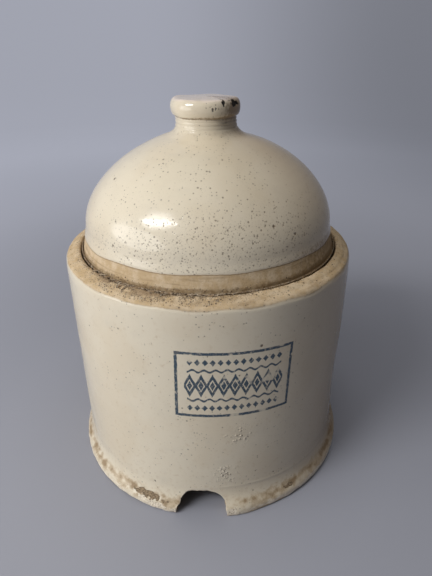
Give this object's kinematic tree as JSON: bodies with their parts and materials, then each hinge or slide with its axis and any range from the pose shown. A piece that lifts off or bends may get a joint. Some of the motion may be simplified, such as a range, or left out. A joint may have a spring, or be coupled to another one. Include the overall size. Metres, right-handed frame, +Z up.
{
  "type": "ceramic crock fermenter",
  "caption": "Stoneware crock on a hollow notched foot, with a domed knobbed lid standing in the rim's water gutter and half-moon weight stones inside.",
  "frame": {"origin": "centre of the foot's underside, on the table plane", "axes": "+Z up along the crock's axis; -Y is the front, where the foot's notch is"},
  "size_m": [0.2038, 0.2032, 0.25],
  "materials": {
    "crock_glaze": "glossy cream slip glaze, bare tan clay at the rim and foot",
    "lid_glaze": "glossy cream slip glaze with iron pits, bare tan clay at the skirt",
    "weight_stone": "matt unglazed stoneware"
  },
  "bodies": {
    "crock": {"crock": "crock_glaze"},
    "lid": {"lid": "lid_glaze"},
    "weight_left": {"weight_left": "weight_stone"},
    "weight_right": {"weight_right": "weight_stone"}
  },
  "joints": [
    {"name": "lid_lift", "type": "slide", "parent": "crock", "child": "lid", "axis": [0, 0, 1], "range_m": [0, 0.15]},
    {"name": "weight_left_lift", "type": "slide", "parent": "crock", "child": "weight_left", "axis": [0, 0, 1], "range_m": [0, 0.06]},
    {"name": "weight_right_lift", "type": "slide", "parent": "crock", "child": "weight_right", "axis": [0, 0, 1], "range_m": [0, 0.06]}
  ]
}
